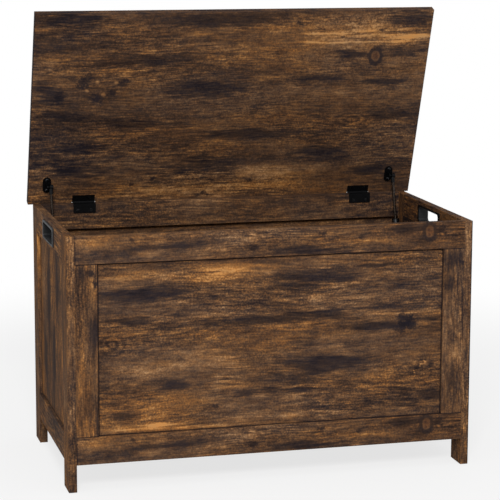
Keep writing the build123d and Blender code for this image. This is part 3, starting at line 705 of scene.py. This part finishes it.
    def tone_edges(self, edge_tone, end_tone, band_tone):
        """Rounded edges, ends and narrow sides have tones of their own. The slight paleness of rounded
        edges is partly wear and partly a painted highlight; the much darker edges, ends and sides given to
        the lid and to the right side's rails are painted shade.
        """
        facing = self.lean["x"].maths("MAXIMUM", self.lean["y"]).maths("MAXIMUM", self.lean["z"])
        edge = facing.smooth(0.93, 0.78)
        end = self.lean[self.length_axis].smooth(0.6, 0.9)
        band = self.lean[self.width_axis].smooth(0.6, 0.9)
        self.tone = self.tone + edge * edge_tone + end * end_tone + band * band_tone
        self.hue = self.hue - band * BAND_COOLING

    def draw_seams_and_shade(self, border, seam_and_shade_tone):
        """Dark lines along a board: dark joints where it meets its neighbours, and painted shade where a
        frame overhangs a panel and along a corner.
        """
        for axis, (low, high) in border.items():
            near = (self.sides[axis] - low).maths("MINIMUM", high - self.sides[axis])
            seam_and_shade = near.smooth(SEAM_WIDTH, SEAM_WIDTH / 4) * (1.0 - self.lean[axis])
            self.tone = self.tone - seam_and_shade * seam_and_shade_tone

    def colour(self, hearts):
        """The tone's colour, with charcoal darks, orange lights, and greyer and ruddier places."""
        dust = self.layer("dust")
        tints = [
            (CHARCOAL_TINT, self.tone.smooth(0.42, 0.10) * self.hue.smooth(0.60, 0.40)),
            (ORANGE_TINT, self.tone.smooth(0.45, 0.85) * self.hue.smooth(0.42, 0.62)),
            (GREY_TINT, self.hue.smooth(0.52, 0.36) * 0.55 + dust.smooth(0.52, 0.34) * 0.45),
            (RUDDY_TINT, self.hue.smooth(0.50, 0.66) * 0.45 + dust.smooth(0.48, 0.66) * 0.45),
            *((HEART_TINT, heart) for heart in hearts),
        ]
        colour = self.tone.ramp(PRINT_STOPS)
        for tint, share in tints:
            colour = colour.blended(tint, share, "MULTIPLY")
        return colour

    def finish(self, colour):
        """Links the print's colour, and a roughness and a relief that follow its grain."""
        roughness = self.streak * 0.20 + self.speck * 0.30 + BOARD_ROUGHNESS
        height = self.streak * 0.5 + self.fibre * 0.8 + self.speck * 0.4 - self.dark_line * 0.2
        self.shader.inputs["Specular IOR Level"].default_value = BOARD_SPECULAR
        feed(self.shader, colour, roughness, height, BOARD_BUMP, BOARD_RELIEF)


def print_board(
    node, axes, seed, tone, marks=None, tilt=0.0, lift=0.0, border=None, seam_and_shade_tone=0.40, strength=1.0,
    edge_tone=0.06, end_tone=0.0, band_tone=0.0, line_tone=0.20, hue_shift=0.0
):
    """Gives a board its rustic brown laminate. Its axes run along and across the grain, and through it."""
    marks = marks or {}
    laid = BoardPrint(f"{node}_print", axes, seed, tilt, lift)
    laid.lay_grain(tone, strength, line_tone, hue_shift)
    laid.lay_marks(marks)
    hearts = laid.lay_knots(marks.get("ring", ()))
    laid.tone_edges(edge_tone, end_tone, band_tone)
    laid.draw_seams_and_shade(border or {}, seam_and_shade_tone)
    laid.finish(laid.colour(hearts))
    dress([node], laid.material)


def print_lid():
    """The lid, whose print is laid out on it as if it lay flat. Its edges and ends are printed much darker:
    painted shade.
    """
    print_board(
        "lid_board", "xyz", 11.0, 0.50, LID_MARKS, LID_TILT, strength=0.9, edge_tone=-0.26, end_tone=-0.26
    )


def print_front():
    """The front's panel, rails and stiles."""
    left, right = inner_edges("front_left_stile", "front_right_stile", 0)
    low, high = inner_edges("front_bottom_rail", "front_top_rail", 2)
    # Where the panel meets its frame, its seams are painted shadow of the frame on its recess, set a little
    # further onto the panel at the left and top
    panel_seams_and_shade = {"x": (left + PANEL_SHADE, right), "z": (low, high - PANEL_SHADE)}
    rail_seams = {"x": (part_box("front_top_rail")[0][0], FAR)}
    stile_seams = {"z": (low, high)}
    print_board(
        "front_panel", "xzy", 23.0, 0.50, PANEL_MARKS, border=panel_seams_and_shade, seam_and_shade_tone=0.60, strength=0.95
    )
    for rail, lift in (("front_top_rail", 0.0), ("front_bottom_rail", RAIL_LIFT)):
        print_board(
            rail, "xzy", 37.0, 0.50, RAIL_MARKS, lift=lift, border=rail_seams, seam_and_shade_tone=0.30,
            hue_shift=-0.03
        )
    for stile, seed, tone, marks in (
        ("front_left_stile", 41.0, 0.55, LEFT_STILE_MARKS),
        ("front_right_stile", 50.0, 0.53, RIGHT_STILE_MARKS),
    ):
        print_board(
            stile, "zxy", seed, tone, marks, border=stile_seams, strength=0.7, line_tone=0.06,
            hue_shift=-0.08
        )


def print_side(side, seed):
    """A side's stiles, panel and rails. The right one has painted shade along its front corner and on its
    rails' top and bottom faces.
    """
    on_left = side == "left"
    stiles = [f"{side}_front_side_stile", f"{side}_rear_side_stile"]
    rails = [f"{side}_bottom_side_rail", f"{side}_top_side_rail"]
    rail_seams = {"y": inner_edges(*stiles, 1)}
    panel_seams_and_shade = {**rail_seams, "z": inner_edges(*rails, 2)}
    # The right side's dark line along its front corner and its darker rail faces are painted shade
    corner_shade = None if on_left else {"x": (-FAR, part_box(stiles[0])[1][0])}
    rear_marks = REAR_STILE_MARKS if on_left else None
    rail_band_shade = 0.0 if on_left else -0.12
    print_board(stiles[0], "zyx", seed, 0.55, border=corner_shade, strength=0.7, band_tone=-0.03)
    print_board(stiles[1], "zyx", seed + SEED_STEP, 0.52, rear_marks, strength=0.7)
    print_board(
        f"{side}_side_panel", "zyx", seed + 2 * SEED_STEP, 0.52, SIDE_PANEL_MARKS, border=panel_seams_and_shade,
        strength=1.4, hue_shift=0.06
    )
    for step, rail in enumerate(rails, 3):
        print_board(rail, "yzx", seed + step * SEED_STEP, 0.52, border=rail_seams, band_tone=rail_band_shade)


def print_back():
    """The back's rails and board, and the floor board."""
    # The back's top rail, seen inside the chest, is printed darker than the other back boards: painted
    # shade
    print_board("back_top_rail", "xzy", 201.0, 0.44)
    print_board("back_bottom_rail", "xzy", 214.0, 0.52)
    print_board("back_board", "xzy", 227.0, 0.50)
    print_board("floor_board", "xyz", 251.0, 0.50)


print_lid()
print_front()
print_side("left", 61.0)
print_side("right", 141.0)
print_back()

# Fittings
black_coat = speckled("black_coat", (2, 2, 3), (8, 8, 9), 900.0, 0.55, bump=0.15, specular=0.08)
dress(both_sides("hinge_body_leaf", "hinge_lid_leaf", "stay_foot_bracket", "stay_lid_bracket"), black_coat)
dress(both_sides("stay_tube"), speckled("black_tube", (4, 4, 5), (11, 11, 12), 600.0, 0.32, specular=0.3))
screw_black = speckled("screw_black", (30, 30, 31), (52, 52, 53), 1400.0, 0.32, metallic=0.9)
moulded = speckled("moulded_black", (14, 15, 17), (27, 28, 30), 1600.0, 0.58, bump=0.3, specular=0.3)
dress(both_sides("hand_hole_insert"), moulded)
socket_black = speckled("socket_black", (3, 3, 4), (9, 9, 10), 1600.0, 0.60, bump=0.2, specular=0.12)
dress(both_sides("hand_hole_ring", "stay_socket", "stay_guide", "stay_eye", "stay_piston"), socket_black)
# The rods' steel is given a brownish colour: a painted reflection of the wood around them
dress(both_sides("stay_rod"), speckled("dark_steel", (28, 22, 18), (42, 34, 28), 700.0, 0.30, metallic=0.9))
zinc = speckled("zinc_plate", (176, 178, 178), (214, 214, 210), 800.0, 0.34, metallic=1.0)
dress(["cam_bolts", "cam_locks", *both_sides("hinge_pin")], zinc)
dress(["wood_dowels"], speckled("raw_beech", (172, 136, 98), (214, 180, 140), 500.0, 0.70, bump=0.3))


def screw_nodes():
    """A node tree that sets screws on points: a domed or countersunk head, a cross recess and a shank."""
    tree = bpy.data.node_groups.new("screw_set", "GeometryNodeTree")
    tree.interface.new_socket("Points", in_out="INPUT", socket_type="NodeSocketGeometry")
    for size in SCREW_SIZES:
        tree.interface.new_socket(size, in_out="INPUT", socket_type="NodeSocketFloat")
    tree.interface.new_socket("Finish", in_out="INPUT", socket_type="NodeSocketMaterial")
    tree.interface.new_socket("Screws", in_out="OUTPUT", socket_type="NodeSocketGeometry")
    inputs = tree.nodes.new("NodeGroupInput")
    given = {output.name: Wire(tree, output) for output in inputs.outputs if output.name}
    points = given["Points"]

    # Head: a ball, its upper half pressed to a dome and its lower half drawn in to the shank
    ball_size = {"Segments": HEAD_SEGMENTS, "Rings": HEAD_RINGS, "Radius": 1.0}
    ball = points.node("GeometryNodeMeshUVSphere", {}, ball_size)
    ball_place = points.node("GeometryNodeInputPosition", {}, {})
    ball_x, ball_y, ball_z = ball_place.parts()
    rim = (ball_x * ball_x + ball_y * ball_y).maths("SQRT").maths("MAXIMUM", TINY)
    below = (ball_z * -1).maths("MAXIMUM", 0.0)
    cone = given["Head Radius"] + (given["Shank Radius"] - given["Head Radius"]) * below
    spread = ball_z.maths("LESS_THAN", -TINY)
    wide = given["Head Radius"] + (cone.maths("DIVIDE", rim) - given["Head Radius"]) * spread
    tall = ball_z.maths("MAXIMUM", 0.0) * given["Dome"] - below * given["Sink"]
    shaped = (ball_x * wide).joined(ball_y * wide, tall)
    head = ball.node("GeometryNodeSetPosition", {}, {"Geometry": ball, "Position": shaped})

    # Shank: its top reaches a little way into the dome
    shank_size = {"Vertices": SHANK_SIDES, "Radius": given["Shank Radius"], "Depth": given["Length"]}
    shank = points.node("GeometryNodeMeshCylinder", {}, shank_size)
    lowered = (given["Dome"] * SHANK_RISE - given["Length"] * 0.5).upward()
    shank = shank.node("GeometryNodeTransform", {}, {"Geometry": shank, "Translation": lowered})
    screw = head.node("GeometryNodeMeshBoolean", {"operation": "UNION"}, {"Mesh 2": [head, shank]})

    # Recess: two crossed bars are cut out of the head
    bars = []
    for across in (0.0, QUARTER_TURN):
        bar = given["Recess Length"].joined(given["Recess Width"], given["Recess Depth"] * 2)
        bar = points.node("GeometryNodeMeshCube", {}, {"Size": bar})
        laid = {"Geometry": bar, "Translation": given["Dome"].upward(), "Rotation": (0.0, 0.0, across)}
        bars.append(bar.node("GeometryNodeTransform", {}, laid))
    cut = {"Mesh 1": screw, "Mesh 2": bars}
    screw = screw.node("GeometryNodeMeshBoolean", {"operation": "DIFFERENCE"}, cut)

    # Each screw stands on its face, with its recess left at its own turn
    vectors = {"data_type": "FLOAT_VECTOR"}
    facing = points.node("GeometryNodeInputNamedAttribute", vectors, {"Name": "facing"})
    stand = facing.node("FunctionNodeAlignRotationToVector", {"axis": "Z"}, {"Vector": facing})
    turns = {RANDOM_LOW: 0.0, RANDOM_HIGH: QUARTER_TURN, RANDOM_SEED: TURN_SEED}
    turn = points.node("FunctionNodeRandomValue", {"data_type": "FLOAT"}, turns, RANDOM_RESULT)
    spin = points.node("FunctionNodeAxisAngleToRotation", {}, {"Axis": (0.0, 0.0, 1.0), "Angle": turn})
    stand = stand.node("FunctionNodeRotateRotation", {"rotation_space": "LOCAL"}, {0: stand, 1: spin})
    rows = {"Points": points, "Instance": screw, "Rotation": stand}
    rows = points.node("GeometryNodeInstanceOnPoints", {}, rows)
    rows = rows.node("GeometryNodeRealizeInstances", {}, {0: rows})
    rows = rows.node("GeometryNodeSetMaterial", {}, {"Geometry": rows, "Material": given["Finish"]})
    output = tree.nodes.new("NodeGroupOutput")
    tree.links.new(rows.socket, output.inputs["Screws"])
    return tree


def set_screws(node, body, finish, sizes, spots):
    """Sets the screws that stand for a CAD node: spots are places on a face and the way that face looks."""
    mesh = bpy.data.meshes.new(f"{node}_spots")
    mesh.from_pydata([place for place, direction in spots], [], [])
    facing = mesh.attributes.new("facing", "FLOAT_VECTOR", "POINT")
    facing.data.foreach_set("vector", [part for place, direction in spots for part in direction])
    piece = bpy.data.objects.new(f"{node}_cut", mesh)
    bpy.context.scene.collection.objects.link(piece)
    modifier = piece.modifiers.new("screws", "NODES")
    modifier.node_group = SCREW_TREE
    values = dict(zip(SCREW_SIZES, sizes), Finish=finish)
    for socket in SCREW_TREE.interface.items_tree:
        if socket.name in values:
            modifier[socket.identifier] = values[socket.name]
    evaluated = piece.evaluated_get(bpy.context.evaluated_depsgraph_get())
    made = bpy.data.meshes.new_from_object(evaluated)
    piece.modifiers.remove(modifier)
    piece.data = made
    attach(piece, body)
    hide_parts(node)


def lid_point(x, back, up):
    """A place on the open lid, from the hinge axis back along the lid and out of its top."""
    turn = -LID_TILT
    y = HINGE_PLACE[1] + back * cos(turn) + up * sin(turn)
    return (x, y, HINGE_PLACE[2] - back * sin(turn) + up * cos(turn))


def screw_pairs():
    """The places of the hinges' and the stays' screws, by CAD node."""
    pairs = {name: [] for name in ("hinge_body", "hinge_lid", "stay_body", "stay_lid")}
    under_lid = (0.0, sin(LID_TILT), -cos(LID_TILT))
    for side, inward in (("left", 1), ("right", -1)):
        leaf_low, leaf_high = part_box(f"{side}_hinge_body_leaf")
        foot_low, foot_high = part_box(f"{side}_stay_foot_bracket")
        plate_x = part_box(f"{side}_stay_lid_bracket")[0][0] + PLATE_WIDTH / 2
        foot_x = (foot_low if inward > 0 else foot_high)[0] + inward * PLATE_THICKNESS
        foot_y, foot_z = [(foot_low[axis] + foot_high[axis]) / 2 for axis in (1, 2)]
        for way in (-1, 1):
            leaf_x = (leaf_low[0] + leaf_high[0]) / 2 + way * LEAF_SCREW_SPACING / 2
            step = way * PLATE_SCREW_SPACING / 2
            leaf_place = (leaf_x, leaf_low[1], leaf_low[2] + LEAF_SCREW_INSET)
            plate_place = lid_point(plate_x, step - STUD_REACH, LID_UNDER - PLATE_THICKNESS)
            pairs["hinge_body"].append((leaf_place, FORWARD))
            pairs["hinge_lid"].append((lid_point(leaf_x, -LID_LEAF_SCREW, LID_UNDER), under_lid))
            pairs["stay_lid"].append((plate_place, under_lid))
            pairs["stay_body"].append(((foot_x, foot_y, foot_z + step), (float(inward), 0.0, 0.0)))
    return pairs


def back_board_places():
    """The places of the screws along the back board's upper and lower edges."""
    low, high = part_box("back_board")
    heights = (low[2] + BACK_SCREW_INSET, high[2] - BACK_SCREW_INSET)
    columns = [number * BACK_SCREW_SPACING for number in range(-2, 3)]
    return [((x, high[1], z), BACKWARD) for z in heights for x in columns]


SCREW_TREE = screw_nodes()
for name, spots in screw_pairs().items():
    body = "chest" if name.endswith("body") else "lid"
    sizes = FLAT_SCREW if name.startswith("hinge") else ROUND_SCREW
    set_screws(f"{name}_screws", body, screw_black, sizes, spots)
set_screws("back_board_screws", "chest", zinc, SMALL_SCREW, back_board_places())


def light_path(tree):
    """1 for a ray that shows the stage itself, in the camera, in a gloss or through glass; else 0."""
    path = tree.nodes.new("ShaderNodeLightPath")
    seen = Wire(tree, path.outputs["Is Camera Ray"])
    for name in ("Is Glossy Ray", "Is Transmission Ray"):
        seen = seen.maths("MAXIMUM", Wire(tree, path.outputs[name]))
    return seen


def build_floor():
    """A pale floor that takes the bench's shadow and goes over into white further out."""
    mesh = bpy.data.meshes.new("floor")
    corners = [(x * FLOOR_REACH, y * FLOOR_REACH, 0.0) for x, y in ((-1, -1), (1, -1), (1, 1), (-1, 1))]
    mesh.from_pydata(corners, [], [(0, 1, 2, 3)])
    floor = bpy.data.objects.new("floor", mesh)
    bpy.context.scene.collection.objects.link(floor)
    material = bpy.data.materials.new("pale_floor")
    material.use_nodes = True
    tree = material.node_tree
    tree.nodes.remove(tree.nodes["Principled BSDF"])
    coordinates = tree.nodes.new("ShaderNodeTexCoord")
    place = Wire(tree, coordinates.outputs["Object"])
    away = place.vector("LENGTH", output=1).smooth(SHADOW_NEAR, SHADOW_FAR)
    seen = light_path(tree)
    tone = (FLOOR_TONE, FLOOR_TONE, FLOOR_TONE, 1.0)
    matt = place.node("ShaderNodeBsdfDiffuse", {}, {"Color": tone})
    white = place.node("ShaderNodeEmission", {}, {"Color": (1.0, 1.0, 1.0, 1.0), "Strength": 1.0})
    whiteness = away * (1.0 - FLOOR_LIFT) + FLOOR_LIFT
    shown = place.node("ShaderNodeMixShader", {}, {0: whiteness, 1: matt, 2: white})
    both = place.node("ShaderNodeMixShader", {}, {0: seen, 1: matt, 2: shown})
    tree.links.new(both.socket, tree.nodes["Material Output"].inputs["Surface"])
    mesh.materials.append(material)


def build_light():
    """A white world and large soft lamps."""
    world = bpy.data.worlds.new("studio")
    bpy.context.scene.world = world
    world.use_nodes = True
    tree = world.node_tree
    background = tree.nodes["Background"]
    background.inputs["Color"].default_value = (1.0, 1.0, 1.0, 1.0)
    strength = light_path(tree) * (1.0 - AMBIENT) + AMBIENT
    tree.links.new(strength.socket, background.inputs["Strength"])
    for name, place, size, power in LAMPS:
        lamp = bpy.data.lights.new(name, "AREA")
        lamp.size = size
        lamp.energy = power
        lamp_object = bpy.data.objects.new(name, lamp)
        lamp_object.location = place
        lamp_object.rotation_euler = (LAMP_AIM - Vector(place)).to_track_quat("-Z", "Y").to_euler()
        bpy.context.scene.collection.objects.link(lamp_object)


def build_camera():
    """The camera at the photograph's place."""
    camera = bpy.data.cameras.new("camera")
    camera.lens = CAMERA_LENS
    camera.sensor_width = CAMERA_SENSOR
    camera.shift_y = CAMERA_SHIFT
    camera_object = bpy.data.objects.new("camera", camera)
    turn = Matrix.Rotation(-CAMERA_TURN, 4, "Z")
    down = Matrix.Rotation(QUARTER_TURN - CAMERA_DOWN, 4, "X")
    roll = Matrix.Rotation(CAMERA_ROLL, 4, "Z")
    camera_object.matrix_world = Matrix.Translation(CAMERA_PLACE) @ turn @ down @ roll
    bpy.context.scene.collection.objects.link(camera_object)
    bpy.context.scene.camera = camera_object


build_floor()
build_light()
build_camera()
bpy.context.scene.view_settings.view_transform = "Standard"
